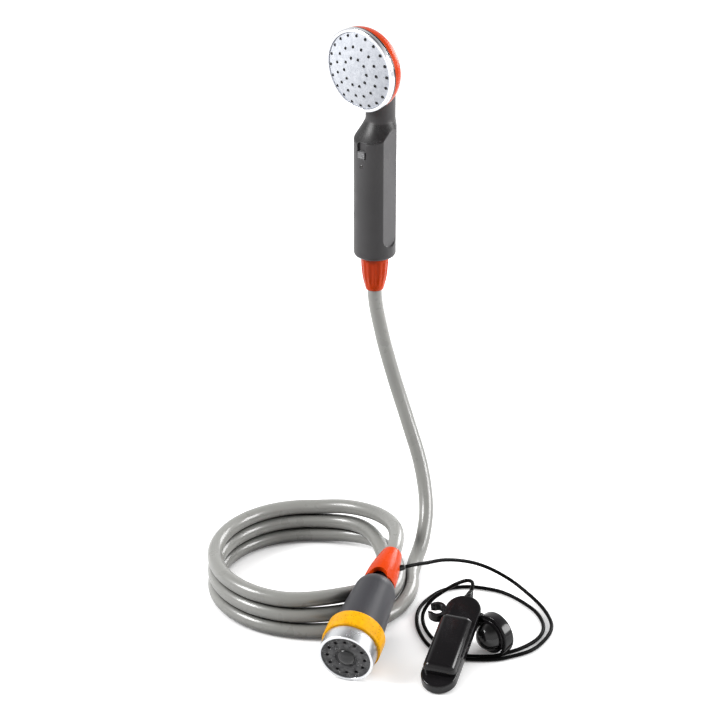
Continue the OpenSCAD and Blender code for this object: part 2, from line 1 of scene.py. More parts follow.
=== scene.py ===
"""Camp shower set: spray handset on a coiled hose, submersible pump, lead and power pack.

Forms are written in millimetres; mm() and the in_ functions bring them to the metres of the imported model's
frame. Finishes, floor and lamps are in metres.
"""

import json
import math

import bmesh
import bpy
import numpy as np
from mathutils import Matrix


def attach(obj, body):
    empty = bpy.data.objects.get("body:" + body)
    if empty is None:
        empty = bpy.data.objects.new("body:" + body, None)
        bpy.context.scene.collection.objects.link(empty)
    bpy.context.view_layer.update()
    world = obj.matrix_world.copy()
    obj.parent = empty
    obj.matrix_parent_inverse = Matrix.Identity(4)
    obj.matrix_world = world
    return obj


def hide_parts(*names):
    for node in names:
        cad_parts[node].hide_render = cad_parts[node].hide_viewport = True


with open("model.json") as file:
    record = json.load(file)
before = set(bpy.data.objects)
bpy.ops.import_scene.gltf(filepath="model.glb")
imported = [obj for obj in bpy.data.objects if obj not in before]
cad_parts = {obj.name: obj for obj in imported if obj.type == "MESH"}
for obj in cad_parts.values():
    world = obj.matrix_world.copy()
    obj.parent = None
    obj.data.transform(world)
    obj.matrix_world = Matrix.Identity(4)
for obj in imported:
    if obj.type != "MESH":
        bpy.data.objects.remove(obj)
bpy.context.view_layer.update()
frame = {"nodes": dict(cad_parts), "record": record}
node_of = frame["nodes"]
slot_of = {entry["node"]: entry["material_slot"] for entry in frame["record"]["subparts"]}
body_of = {node: body for body, nodes in frame["record"]["behaviour"]["bodies"].items() for node in nodes}


def mm(values):
    """Millimetres to metres, as an array."""
    return np.asarray(values, dtype=float) / 1000.0


def turn_x(points, degrees):
    """Rows of points turned about X by the right-hand rule."""
    c, s = math.cos(math.radians(degrees)), math.sin(math.radians(degrees))
    return points @ np.array([[1, 0, 0], [0, c, s], [0, -s, c]])


def turn_z(points, degrees):
    """Rows of points turned about Z by the right-hand rule."""
    c, s = math.cos(math.radians(degrees)), math.sin(math.radians(degrees))
    return points @ np.array([[c, s, 0], [-s, c, 0], [0, 0, 1]])


# Where the three assemblies stand, as in the solids
SET_AT = mm([4, 0.6, 0])
HANDSET_AT = SET_AT + mm([-35, 140, 259])
HANDSET_TURN = -41.0
HEAD_AT = mm([0, -21, 172])
HEAD_TILT = 95.0
PUMP_TILT = 9.0
PUMP_TURN = -17.0
RING_R = 23.0
PUMP_AT = SET_AT + mm([-59.7, -140.3, RING_R * math.cos(math.radians(PUMP_TILT))])
PACK_AT = SET_AT + mm([11.5, -156.5, 0])
PACK_TILT = 17.0
PACK_TURN = -19.0


def in_handset(points):
    """Handset millimetres (z up the grip, -y to the spray side) to the shared frame."""
    return HANDSET_AT + turn_z(mm(points), HANDSET_TURN)


def in_head(points):
    """Head millimetres (z out of the spray face) to the shared frame."""
    return HANDSET_AT + turn_z(HEAD_AT + turn_x(mm(points), HEAD_TILT), HANDSET_TURN)


def in_pump(points):
    """Pump millimetres (z from strainer to hose, -y up, x right) to the shared frame."""
    return PUMP_AT + turn_z(turn_x(mm(points), PUMP_TILT - 90), PUMP_TURN)


def in_pack(points):
    """Pack millimetres (y to the lead, z up, x right) to the shared frame."""
    return PACK_AT + turn_z(turn_x(mm(points), PACK_TILT), PACK_TURN)


def unit(v):
    """Rows of v at length one."""
    return v / np.linalg.norm(v, axis=-1, keepdims=True)


# Camera at the photograph's place
CAMERA_AT = SET_AT + mm([-48, -1493.7, 918.4])
CAMERA_DOWN = 25
FOCAL_LENGTH = 100
SENSOR_W = 36
camera_data = bpy.data.cameras.new("photo_camera")
camera_data.lens = FOCAL_LENGTH
camera_data.sensor_width = SENSOR_W
camera_data.clip_start = 0.05
camera_data.clip_end = 20
camera = bpy.data.objects.new("photo_camera", camera_data)
camera.location = CAMERA_AT
camera.rotation_euler = (math.radians(90 - CAMERA_DOWN), 0, 0)
bpy.context.scene.collection.objects.link(camera)
bpy.context.scene.camera = camera
bpy.context.scene.view_settings.view_transform = "Standard"


# Meshes from arrays
def mesh_object(name, points, faces, uv=None):
    """A mesh at the origin from arrays of points and faces, with a UV pair for each point if given."""
    mesh = bpy.data.meshes.new(name)
    mesh.from_pydata(np.asarray(points).tolist(), [], [list(map(int, f)) for f in faces])
    if uv is not None:
        layer = mesh.uv_layers.new(name="UVMap")
        loops = np.empty(len(mesh.loops), dtype=np.int32)
        mesh.loops.foreach_get("vertex_index", loops)
        layer.data.foreach_set("uv", np.asarray(uv)[loops].astype(np.float32).ravel())
    mesh.update()
    made = bpy.data.objects.new(name, mesh)
    bpy.context.scene.collection.objects.link(made)
    return made


def grid_faces(rows, columns, wrap, wrap_rows=False):
    """Quads of a rows x columns grid; wrap joins the last column to the first, wrap_rows the last row."""
    down = np.arange(rows if wrap_rows else rows - 1)
    across = np.arange(columns if wrap else columns - 1)
    i, j = np.meshgrid(down, across, indexing="ij")
    k = (j + 1) % columns
    here = i * columns
    below = (i + 1) % rows * columns
    return np.stack([here + j, here + k, below + k, below + j], axis=-1).reshape(-1, 4)


MERGE_WITHIN = 1e-7
NO_LENGTH = 1e-8


def close_shell(piece, smooth_angle=40):
    """Merges doubles, fills open ends, turns the faces outwards and smooths all but sharp edges."""
    shell = bmesh.new()
    shell.from_mesh(piece.data)
    bmesh.ops.remove_doubles(shell, verts=shell.verts, dist=MERGE_WITHIN)
    bmesh.ops.dissolve_degenerate(shell, edges=shell.edges, dist=NO_LENGTH)
    bmesh.ops.holes_fill(shell, edges=[e for e in shell.edges if e.is_boundary])
    bmesh.ops.recalc_face_normals(shell, faces=shell.faces)
    shell.to_mesh(piece.data)
    shell.free()
    piece.data.shade_smooth()
    piece.data.set_sharp_from_angle(angle=math.radians(smooth_angle))
    return piece


to_dress = [(node_of[node], slot) for node, slot in slot_of.items()]


def rides_on(piece, body, slot):
    """The piece rides on a body and takes its finish from a slot."""
    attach(piece, body)
    to_dress.append((piece, slot))
    return piece


def stands_for(piece, *nodes):
    """The piece replaces its nodes, and rides and takes its slot as the first of them says."""
    rides_on(piece, body_of[nodes[0]], slot_of[nodes[0]])
    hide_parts(*nodes)
    return piece


# Hose and lead come first
HOSE_D = 13.0
COIL_MID = (-94.0, 10.0)
COIL_R = 80.0
COIL_SWELL = 11.0
COIL_END = 990
TURN_STEP = 12.98
TURN_LEAN = 60.0
TURN_DRIFT = 2
LEAN_PLAY = 0.3
CLIMB_PLAY = 2
CLIMB_FROM = 270
CLIMB_OVER = 88
UPRIGHT_FROM = 20
UPRIGHT_OVER = 90
HOOD_END = 136
NUT_END = -32
LEAD_D = 3.2


def ease(x):
    """Smooth step from 0 to 1 along half a cosine."""
    return 0.5 - 0.5 * np.cos(np.pi * np.clip(x, 0, 1))


def spline(knots, ends, steps):
    """Catmull-Rom curve through the knots that leaves and arrives along two directions."""
    p = np.asarray(knots, dtype=float)
    first = p[1] - 2 * np.linalg.norm(p[1] - p[0]) * np.asarray(ends[0])
    last = p[-2] + 2 * np.linalg.norm(p[-1] - p[-2]) * np.asarray(ends[1])
    q = np.vstack([first, p, last])
    a, b, c, d = (v[:, None, :] for v in (q[:-3], q[1:-2], q[2:-1], q[3:]))
    t = (np.arange(steps) / steps)[None, :, None]
    body = 0.5 * (2 * b + (c - a) * t + (2 * a - 5 * b + 4 * c - d) * t**2 + (3 * b - a - 3 * c + d) * t**3)
    return np.vstack([body.reshape(-1, 3), p[-1:]])


def coil_points(w):
    """The coil by its winding angle in degrees: turns stand on each other at front, left and back,
    and lean inward under the pump. They lie close, and a little apart where each climbs to the next.
    Each turn is the one below it moved by one step along the lean; the radius swells with the lean."""
    a = w % 360
    climb = ease((a - CLIMB_FROM) / CLIMB_OVER)
    lean = 1 - ease((a - UPRIGHT_FROM) / UPRIGHT_OVER) + climb
    rank = np.floor(w / 360) + climb
    step = TURN_STEP + LEAN_PLAY * lean + CLIMB_PLAY * climb * (1 - climb)
    tilt = np.radians(TURN_LEAN * lean)
    r = COIL_R + COIL_SWELL * lean - rank * step * np.sin(tilt)
    rise = rank * np.cos(tilt)
    turn = np.radians(a)
    x = COIL_MID[0] + r * np.cos(turn)
    y = COIL_MID[1] + TURN_DRIFT * (rise - 1) - r * np.sin(turn)
    return np.stack([x, y, HOSE_D / 2 + rise * step], axis=-1)


def spot(place, point):
    """One point of an assembly in millimetres from the set's own middle."""
    return (place([point])[0] - SET_AT) * 1000


coil = coil_points(np.linspace(0, COIL_END, COIL_END // 3 + 1))
hood_tip = spot(in_pump, [0, 0, HOOD_END])
hood_dir = unit(hood_tip - spot(in_pump, [0, 0, 0]))
riser = spline(
    [coil[0], [0.5, 34, 8.5], [8, 59, 19], [11.5, 82, 39], [7, 103, 69], [-5, 120, 106], [-18, 131, 146],
     [-29, 138, 187], spot(in_handset, [0, 0, NUT_END])], ([0, 1, 0], [0, 0, 1]), 12)
tail = spline([coil[-1], [-58.5, 83.5, 37], [-31, 60, 42], [-17, 27.5, 45.5], hood_tip],
              ([1, 0, 0], -hood_dir), 14)
hose_path = SET_AT + mm(np.vstack([riser[:0:-1], coil, tail[1:]]))

GROMMET_AT = np.array([8, 0, 117.1])
GROMMET_L = 9
GROMMET_LEAN = math.radians(55)
BOOT_LIFT = 4.6
BOOT_END = 108
LEAD_LIES = LEAD_D / 2 + 0.2
grommet_root = spot(in_pump, GROMMET_AT)
grommet_way = np.array([math.sin(GROMMET_LEAN), 0, math.cos(GROMMET_LEAN)])
grommet_dir = unit(spot(in_pump, GROMMET_AT + grommet_way) - grommet_root)
boot_tip = spot(in_pack, [0, BOOT_END, BOOT_LIFT])
boot_dir = unit(boot_tip - spot(in_pack, [0, 0, BOOT_LIFT]))
lead_down = [
    [-1, -23.5, 40.5], [10, -13.5, 36.5], [23, -2.5, 32.5], [37, 6.5, 27], [52.5, 12.5, 20.5], [68, 13, 13.5],
    [83.5, 6.5, 7], [96.5, -7.5, 3]]
lead_floor = [
    [107, -26.5], [112.5, -45], [113.5, -61], [108, -77], [95, -95], [77, -105], [61, -109.5], [38, -108.5],
    [22, -101], [10, -90], [2.5, -71], [0, -51], [3, -31], [12.5, -14], [25.5, -1], [46, 4], [67.5, -1],
    [81, -9.5], [93.5, -23.5], [102.5, -38], [106.5, -54], [105.5, -67.5], [99, -80.5], [87, -92],
    [73, -100], [60, -104.9], [36, -103.5], [24, -95], [14.5, -82], [7.5, -65]]
lead_up = [
    [5, -50, 3], [7, -41.5, 7], [14, -36.5, 14.5], [23.5, -36.5, 22.5], [33, -39, 30.5], [42, -42, 36],
    [46.5, -49.5, 38.3]]
lead_knots = [grommet_root + GROMMET_L * grommet_dir, *lead_down, *[[x, y, LEAD_LIES] for x, y in lead_floor],
              *lead_up, boot_tip]
lead_path = SET_AT + mm(spline(lead_knots, (grommet_dir, -boot_dir), 8))


def tube(name, path, radius, sides):
    """A round tube: a circle carried along the path, turned as little as possible from ring to ring.
    UV runs along the tube in metres and once round it."""
    askew = [0.31, 0.87, 0.38]
    along = unit(np.gradient(path, axis=0))
    side = np.empty_like(along)
    side[0] = unit(np.cross(along[0], askew))
    for i in range(1, len(path)):
        turned_side = side[i - 1] - along[i] * np.dot(side[i - 1], along[i])
        side[i] = turned_side / np.linalg.norm(turned_side)
    other = np.cross(along, side)
    a = np.linspace(0, 2 * np.pi, sides + 1)[:, None]
    rings = path[:, None, :] + radius * (np.cos(a) * side[:, None, :] + np.sin(a) * other[:, None, :])
    run = np.concatenate([[0], np.cumsum(np.linalg.norm(np.diff(path, axis=0), axis=1))])
    uv = np.stack(np.broadcast_arrays(run[:, None], np.linspace(0, 1, sides + 1)[None, :]), axis=-1)
    faces = grid_faces(len(path), sides + 1, False)
    return close_shell(mesh_object(name, rings.reshape(-1, 3), faces, uv.reshape(-1, 2)), smooth_angle=60)


hose = stands_for(tube("water_hose", hose_path, mm(HOSE_D / 2), 32), "hose_riser", "hose_coil", "hose_tail")
lead = stands_for(tube("power_cable", lead_path, mm(LEAD_D / 2), 14), "power_lead")


# Turned and moulded forms
AXIS_R = 0.02


def rounded(profile, radius, closed=False, steps=4):
    """A polyline whose corners become short curves: each corner runs along a quadratic arc between two
    points that lie the radius (or under half an edge) before and after it."""
    p = np.asarray(profile, dtype=float)
    before, after = np.roll(p, 1, axis=0), np.roll(p, -1, axis=0)
    back, ahead = before - p, after - p
    back_l = np.linalg.norm(back, axis=1, keepdims=True)
    ahead_l = np.linalg.norm(ahead, axis=1, keepdims=True)
    reach = np.minimum(np.broadcast_to(np.reshape(radius, (-1, 1)), back_l.shape),
                       0.45 * np.minimum(back_l, ahead_l))
    a, b = p + back / back_l * reach, p + ahead / ahead_l * reach
    t = np.linspace(0, 1, steps + 1)[None, :, None]
    arcs = (1 - t)**2 * a[:, None] + 2 * t * (1 - t) * p[:, None] + t**2 * b[:, None]
    if closed:
        return arcs.reshape(-1, 2)
    return np.vstack([p[:1], arcs[1:-1].reshape(-1, 2), p[-1:]])


def flowing(profile, steps=5):
    """A smooth curve through profile points, for domes and tapers."""
    p = np.asarray(profile, dtype=float)
    flat = np.column_stack([p, np.zeros(len(p))])
    return spline(flat, (unit(flat[1] - flat[0]), unit(flat[-1] - flat[-2])), steps)[:, :2]


def spun(profile, sides):
    """Rows of (radius, height) turned about the height: x = r cos a, y = r sin a, z = h."""
    a = np.linspace(0, 2 * np.pi, sides, endpoint=False)
    r, h = np.asarray(profile).T
    x = r[:, None] * np.cos(a)
    y = r[:, None] * np.sin(a)
    return np.stack(np.broadcast_arrays(x, y, h[:, None]), axis=-1)


def turned(name, profile, place, sides=112, closed=True, smooth_angle=40):
    """A turned piece: its profile spun round the axis and set in its assembly."""
    rings = spun(profile, sides)
    faces = grid_faces(len(rings), sides, True, closed)
    return close_shell(mesh_object(name, place(rings.reshape(-1, 3)), faces), smooth_angle)


SOLID_MERGE = 2e-6
FLAT_ANGLE = math.radians(0.6)
SHARP_ANGLE = math.radians(50)
BEVEL_ANGLE = math.radians(32)


def softened(name, node, width, segments=3, flatten=True):
    """A copy of a solid, merged, with its sharp edges rounded by a bevel of a width in millimetres."""
    made = bpy.data.objects.new(name, node_of[node].data.copy())
    bpy.context.scene.collection.objects.link(made)
    shell = bmesh.new()
    shell.from_mesh(made.data)
    bmesh.ops.remove_doubles(shell, verts=shell.verts, dist=SOLID_MERGE)
    if flatten:
        bmesh.ops.dissolve_limit(shell, angle_limit=FLAT_ANGLE, verts=shell.verts, edges=shell.edges)
    shell.to_mesh(made.data)
    shell.free()
    made.data.shade_smooth()
    made.data.set_sharp_from_angle(angle=SHARP_ANGLE)
    edge = made.modifiers.new("soft_edges", "BEVEL")
    edge.width = width / 1000
    edge.segments = segments
    edge.limit_method = "ANGLE"
    edge.angle_limit = BEVEL_ANGLE
    edge.use_clamp_overlap = True
    edge.harden_normals = False
    return stands_for(made, node)


def smooth_max(a, b, k):
    """The larger of two distances, blended over a width k."""
    h = np.clip(1 - np.abs(a - b) / k, 0, 1)
    return np.maximum(a, b) + 0.25 * k * h * h


def smooth_min(a, b, k):
    """The smaller of two distances, blended over a width k."""
    return -smooth_max(-a, -b, k)


# Grip
GRIP_R = 18.5
GRIP_EDGE_R = 3.5
PANEL_X = 16.5
PANEL_HALF = math.sqrt(GRIP_R**2 - PANEL_X**2)
PANEL_FOOT = 12 + PANEL_HALF
PANEL_EDGE = 0.6
PANEL_BLEND = 0.4
NECK_R = 13.0
NECK_Y = 7.0
NECK_TOP = 170.0
NECK_BLEND = 0.8
REST_R = 60.0
REST_AT = (67.7, 148.5)
POCKET_MID = 100.1
POCKET_HALF = (4.5, 7.0)
POCKET_CORNER = 1.5
POCKET_FLOOR = 15.6
POCKET_BLEND = 0.7
MARK_FADE = 0.8


def rest_distance(ring, z):
    """Height over the thumb rest: a hollow arc turned round the neck's axis, upright above its middle."""
    out, top = REST_AT
    return np.where(z < top, REST_R - np.hypot(out - ring, top - z), ring - out + REST_R)


def panel_outline(y, z):
    """Distance outside a side panel's outline: an upright strip with a round foot."""
    return np.where(z > PANEL_FOOT, np.abs(y), np.hypot(y, z - PANEL_FOOT)) - PANEL_HALF


def pocket_outline(x, z):
    """Distance outside the switch pocket's outline: a rectangle with round corners."""
    over_x = np.abs(x) - POCKET_HALF[0] + POCKET_CORNER
    over_z = np.abs(z - POCKET_MID) - POCKET_HALF[1] + POCKET_CORNER
    outside = np.hypot(np.maximum(over_x, 0), np.maximum(over_z, 0))
    return outside + np.minimum(np.maximum(over_x, over_z), 0) - POCKET_CORNER


def grip_distance(x, y, z):
    """Signed distance to the grip's skin: a round bar with two flat side panels, cut by a
    sloping thumb rest from which a round neck rises further back, less the pocket of the thumb switch."""
    past_edge = np.hypot(x, y) - GRIP_R
    foot = np.hypot(np.maximum(past_edge + GRIP_EDGE_R, 0), GRIP_EDGE_R - z) - GRIP_EDGE_R
    bar = np.where(z < GRIP_EDGE_R, foot, past_edge)
    panel = smooth_min(np.abs(x) - PANEL_X, -panel_outline(y, z), PANEL_EDGE)
    body = smooth_max(bar, panel, PANEL_BLEND)
    ring = np.hypot(x, y - NECK_Y)
    neck = smooth_min(ring - NECK_R, rest_distance(ring, z), NECK_BLEND)
    crown = NECK_TOP - NECK_R
    neck = np.where(z > crown, np.hypot(ring, z - crown) - NECK_R, neck)
    skin = smooth_max(body, neck, NECK_BLEND)
    pocket = np.maximum(pocket_outline(x, z), y + POCKET_FLOOR)
    return smooth_max(skin, -pocket, POCKET_BLEND)


def runs(*spans):
    """Samples along joined spans, each given as start, end and step."""
    counts = [max(2, int(round(abs(b - a) / step)) + 1) for a, b, step in spans]
    parts = [np.linspace(a, b, count)[:-1] for (a, b, _), count in zip(spans, counts)]
    return np.concatenate(parts + [[spans[-1][1]]])


def grip_skin():
    """The grip as rings of rays from a middle line that leans back into the neck: each ray is halved
    between inside and outside until it meets the skin. Rays and rings lie close at the edges. Two marks
    on the skin tell the side panels and the thumb rest from the rest of it."""
    half = runs((0, 10, 1.0), (10, 21, 0.4), (21, 52, 2.2), (52, 74, 0.6), (74, 104, 2.0), (104, 128, 0.6),
                (128, 180, 2.6))
    turn = np.radians(np.concatenate([-half[:0:-1], half[:-1]]))
    z = runs((0.02, 1.2, 0.25), (1.2, 4, 0.4), (4, 11, 1.4), (11, 22, 0.6), (22, 88, 2.2), (88, 92, 0.8),
             (92, 95, 0.2), (95, 105, 1.0), (105, 127, 0.25), (127, 156, 1.6), (156, 169, 0.7),
             (169, 169.9, 0.2))[:, None]
    bend_from, bend_over, furthest, halvings = 85, 35, 30.0, 34
    back = NECK_Y * ease((z - bend_from) / bend_over)
    side, front = np.sin(turn)[None, :], -np.cos(turn)[None, :]
    low = np.zeros((len(z), len(turn)))
    high = np.full_like(low, furthest)
    for _ in range(halvings):
        mid = (low + high) / 2
        inside = grip_distance(mid * side, back + mid * front, z) < 0
        low = np.where(inside, mid, low)
        high = np.where(inside, high, mid)
    x, y = low * side, back + low * front
    points = np.stack(np.broadcast_arrays(x, y, z), axis=-1)
    skin = mesh_object("grip_skin", in_handset(points.reshape(-1, 3)), grid_faces(len(z), len(turn), True))
    ring = np.hypot(x, y - NECK_Y)
    inset = np.minimum(GRIP_R - np.hypot(x, y), PANEL_X - np.abs(x))
    panel = np.clip(-panel_outline(y, z) / MARK_FADE, 0, 1) * np.clip(1.2 - inset / 0.4, 0, 1)
    on_rest = np.clip(inset / 0.6, 0, 1) * np.clip(rest_distance(ring, z) + 1.8, 0, 1)
    off_neck = np.clip((ring - NECK_R - 0.3) / MARK_FADE, 0, 1)
    for label, mark in (("side_panel", panel), ("thumb_rest", on_rest * off_neck)):
        layer = skin.data.attributes.new(label, "FLOAT", "POINT")
        layer.data.foreach_set("value", mark.astype(np.float32).ravel())
    return close_shell(skin, smooth_angle=48)


stands_for(grip_skin(), "grip_front_shell", "grip_rear_shell")

# Spray head
HEAD_R = 36.5
SHELL_R = 36
SHELL_BORE_R = 31.3
PLATE_R = 34.1
LIP_R = 33.4
PLATE_RISE = 6.0
NOZZLE_RINGS = ((0.9, 20), (0.63, 15), (0.36, 10))
back_of_head = flowing([[0, -24], [9, -23.8], [18.5, -22.8], [27.8, -19.6], [33.6, -14.4], [35.8, -9]], 6)
head_mouth = rounded([[SHELL_R, -8], [SHELL_R, -3.2], [SHELL_BORE_R, -3.2], [SHELL_BORE_R, -9]], 0.5)
head_inside = [[SHELL_BORE_R, -10], [24.5, -18.2], [0.5, -20.2]]
head = np.vstack([back_of_head, head_mouth, head_inside])
stands_for(turned("head_shell", head, in_head, 144, closed=False), "head_housing")
bezel = rounded([[PLATE_R, -3], [HEAD_R, -3], [HEAD_R, 1], [LIP_R, 1], [LIP_R, -0.5], [PLATE_R, -0.5]],
                [0.2, 0.3, 1.1, 0.7, 0.1, 0.1], closed=True)
stands_for(turned("face_bezel", bezel, in_head, 160), "face_ring")
gasket = rounded([[34.2, -3.1], [36.4, -3.1], [36.4, -4.9], [34.2, -4.9]], [0.1, 0.3, 0.5, 0.1], closed=True)
rides_on(turned("rim_gasket", gasket, in_head, 144), "set", "rubber_black")


def face_height(r):
    """Height of the domed spray face at a radius: a ball's cap over its edge."""
    edge_r = PLATE_R - 1.0
    ball = (edge_r**2 + PLATE_RISE**2) / (2 * PLATE_RISE)
    return PLATE_RISE - 0.2 - ball + np.sqrt(ball**2 - r**2)


def nozzle_tips():
    """A rubber tip in each spray hole: a small turned nub with a bore, repeated round three rings."""
    sides = 12
    nub = spun([[AXIS_R, -1.4], [0.5, -1.4], [0.5, 0.15], [0.72, 0.35], [0.95, 0.3], [1.12, 0.02],
                [1.36, -0.42], [1.36, -1.4]], sides)
    r = np.concatenate([np.full(count, share * PLATE_R) for share, count in NOZZLE_RINGS])
    a = np.concatenate([2 * np.pi * np.arange(1, count + 1) / count for _, count in NOZZLE_RINGS])
    places = np.stack([r * np.cos(a), r * np.sin(a), face_height(r) + 0.4], axis=-1)
    points = places[:, None, None, :] + nub[None]
    first = np.arange(len(places)) * len(nub) * sides
    faces = (grid_faces(len(nub), sides, True)[None] + first[:, None, None]).reshape(-1, 4)
    return close_shell(mesh_object("spray_nozzles", in_head(points.reshape(-1, 3)), faces), smooth_angle=50)


rides_on(nozzle_tips(), "set", "rubber_black")


# Hose nut, lamp and switch
def nut_shell():
    """The hose nut: a tapering shell whose outside is hollowed by shallow flutes, each one wave of a cosine
    round the nut, that run out at its ends."""
    sides, flutes, depth = 168, 14, 0.5
    outside = flowing([[12.5, -0.6], [12.3, -4], [12.0, -10], [11.2, -18], [9.9, -24.5], [8.3, -30.6]], 5)
    end_and_bore = [[7.9, -31.8], [7.2, NUT_END], [2.8, NUT_END], [2.8, -22], [4, -22]]
    profile = np.vstack([[[4, -0.1], [11.9, -0.1]], outside, end_and_bore])
    rings = spun(profile, sides)
    r, height = profile.T
    reach = np.where(r > 8, ease((-height - 2) / 4) * ease((height + 30) / 8), 0)
    turn = np.linspace(0, 2 * np.pi, sides, endpoint=False)
    hollow = depth * reach[:, None] * (0.5 - 0.5 * np.cos(flutes * turn))
    rings[..., :2] *= (1 - hollow / r[:, None])[..., None]
    faces = grid_faces(len(rings), sides, True, True)
    return close_shell(mesh_object("nut_shell", in_handset(rings.reshape(-1, 3)), faces), smooth_angle=48)


stands_for(nut_shell(), "hose_nut")
LENS_AT = np.array([0, -16.6, 86.1])


def in_lens(points):
    """Lens millimetres (z out of the grip's front) to the shared frame."""
    return in_handset(LENS_AT + turn_x(np.asarray(points, dtype=float), 90))


lens_side = rounded([[2, -3], [2, 1.8], [1.5, 2.1]], 0.3)
lens_top = flowing([[1.4, 1.85], [0.8, 2.05], [AXIS_R, 2.15]], 4)
lens = np.vstack([[[AXIS_R, -3]], lens_side, lens_top])
stands_for(turned("indicator_dome", lens, in_lens, 40, closed=False), "indicator_lens")
softened("thumb_slide", "switch_button", 0.35)

# Pump
BODY_R = 21.3
COLLAR_R = 24.7
COLLAR_FRONT = 14.3
COLLAR_BACK = 31.3
LEDGE_R = 20.7
RING_BORE_R = 21.36
RING_L = 14
body_front = [[BODY_R, 3.7], [BODY_R, COLLAR_BACK], [21.2, 31.35], [21.5, 31.7]]
shoulder = flowing([[18.05, 78.5], [17.7, 83.5], [16.7, 87.6], [14.7, 91.2], [11.4, 93.9]], 6)
spout = [[11, 94], [6.5, 94], [6.5, 106], [4, 106]]
motor_room = [[4, 78], [14.4, 78], [14.4, 35.3], [4, 35.3]]
intake_room = [[4, COLLAR_BACK], [18.3, COLLAR_BACK], [18.3, 5.2], [19.8, 5.2], [19.8, 3.7]]
pump = np.vstack([body_front, shoulder, spout, motor_room, intake_room])
stands_for(turned("pump_shell", pump, in_pump, 128), "pump_body")
collar = rounded([[BODY_R, COLLAR_FRONT], [COLLAR_R, COLLAR_FRONT], [COLLAR_R, COLLAR_BACK],
                  [BODY_R, COLLAR_BACK]], [0.1, 1.3, 1.3, 0.1], closed=True, steps=6)
stands_for(turned("collar_band", collar, in_pump, 128), "collar")
band = rounded([[LEDGE_R, 0], [RING_R, 0], [RING_R, RING_L], [RING_BORE_R, RING_L], [RING_BORE_R, 1.2],
                [LEDGE_R, 1.2]], [0.5, 0.7, 0.5, 0.1, 0.1, 0.3], closed=True, steps=5)
stands_for(turned("steel_band", band, in_pump, 144), "strainer_ring")
softened("strainer_face", "strainer_plate", 0.25, 2, flatten=False)
boss_dome = flowing([[AXIS_R, -2.3], [2.6, -1.9], [5.2, -0.8], [6.9, 0.5], [7.45, 1.3]], 5)
boss = np.vstack([boss_dome, [[7.3, 1.9], [AXIS_R, 1.9]]])
rides_on(turned("strainer_boss", boss, in_pump, 64, closed=False), "strainer", "strainer_grey")


def hood_shell():
    """The hood: a tapering shell whose front edge is cut by an arch across it. Each ring runs from the
    arched edge to the hose end, then back inside at the wall's thickness."""
    sides, arch_r, arch_foot = 144, 8.0, 93.3
    outside = flowing([[14, 94], [13.8, 101], [13.2, 109], [11.9, 118.5], [10.2, 128], [8.9, 134.4]], 8)
    inside = np.array([[11.2, 94.3], [9.5, 101], [8.8, 106.3]])
    turn = np.linspace(0, 2 * np.pi, sides, endpoint=False)[None, :]

    def wall(profile):
        """Rows from the arched edge up to the profile's end, at the profile's radius."""
        r, h = profile[:, :1], profile[:, 1:]
        cut = arch_foot + np.sqrt(np.maximum(arch_r**2 - (r[0] * np.cos(turn))**2, 0))
        start = np.maximum(cut, h[0])
        share = (h - h[0]) / (h[-1] - h[0])
        height = start + share * (h[-1] - start)
        radius = np.interp(height, profile[:, 1], profile[:, 0])
        return np.stack([radius * np.cos(turn), radius * np.sin(turn), height], axis=-1)

    outer, inner = wall(outside), wall(inside)
    lip = 0.5 * (outer[:1] + inner[:1]) - np.array([0, 0, 0.35])
    end = spun([[8.5, 135.7], [8.0, HOOD_END], [4, HOOD_END], [4, 106.3], [6.6, 106.3]], sides)
    rows = np.concatenate([inner[::-1], lip, outer, end])
    faces = grid_faces(len(rows), sides, True, True)
    return close_shell(mesh_object("hood_shell", in_pump(rows.reshape(-1, 3)), faces), smooth_angle=45)


stands_for(hood_shell(), "hood")


def in_grommet(points):
    """Grommet millimetres (z along the lead) to the shared frame."""
    x, y, z = np.moveaxis(np.asarray(points, dtype=float), -1, 0)
    c, s = math.cos(GROMMET_LEAN), math.sin(GROMMET_LEAN)
    return in_pump(GROMMET_AT + np.stack([x * c + z * s, y, z * c - x * s], axis=-1))


grommet_side = rounded([[2.6, 0], [2.6, 6.2], [2.3, 8.2], [1.7, GROMMET_L]], 0.5)
grommet = np.vstack([[[AXIS_R, 0]], grommet_side, [[AXIS_R, GROMMET_L]]])
stands_for(turned("grommet_boot", grommet, in_grommet, 36, closed=False), "lead_grommet")

# Power pack
softened("pack_tray", "pack_base", 1.3, 4)


def pack_lid():
    """The pack's cover: rings of a rounded rectangle that rise from the tray and close in over a quarter
    round to the flat top. A ring is four quarter circles moved out to the corners."""
    half_w, half_l, middle, low, top, edge_r = 13.75, 30.0, 42.0, 9.0, 18.0, 6.2
    steps = 9
    lift = np.radians(np.linspace(0, 90, 10))
    corner_r = np.concatenate([[edge_r, edge_r], np.maximum(edge_r * np.cos(lift), AXIS_R)])[:, None]
    height = np.concatenate([[low - 0.4, low], top - edge_r + edge_r * np.sin(lift)])[:, None]
    turn = np.radians(np.linspace(0, 90, steps) + 90 * np.arange(4)[:, None]).ravel()
    right = np.repeat([1, -1, -1, 1], steps)
    ahead = np.repeat([1, 1, -1, -1], steps)
    x = right * (half_w - edge_r) + corner_r * np.cos(turn)
    y = middle + ahead * (half_l - edge_r) + corner_r * np.sin(turn)
    rows = np.stack(np.broadcast_arrays(x, y, height), axis=-1)
    faces = grid_faces(len(height), len(turn), True)
    return close_shell(mesh_object("pack_lid", in_pack(rows.reshape(-1, 3)), faces), smooth_angle=50)


stands_for(pack_lid(), "pack_cover")
softened("cup_bracket", "cup_arm", 0.7)
softened("spring_hook", "spring_clip", 0.6)

# Suction cup
CUP_R = 15.0
CUP_TURN = -46.0
CUP_AT = in_pack([24.5, 76, 0])
CUP_AT[2] = SET_AT[2] + CUP_R / 1000


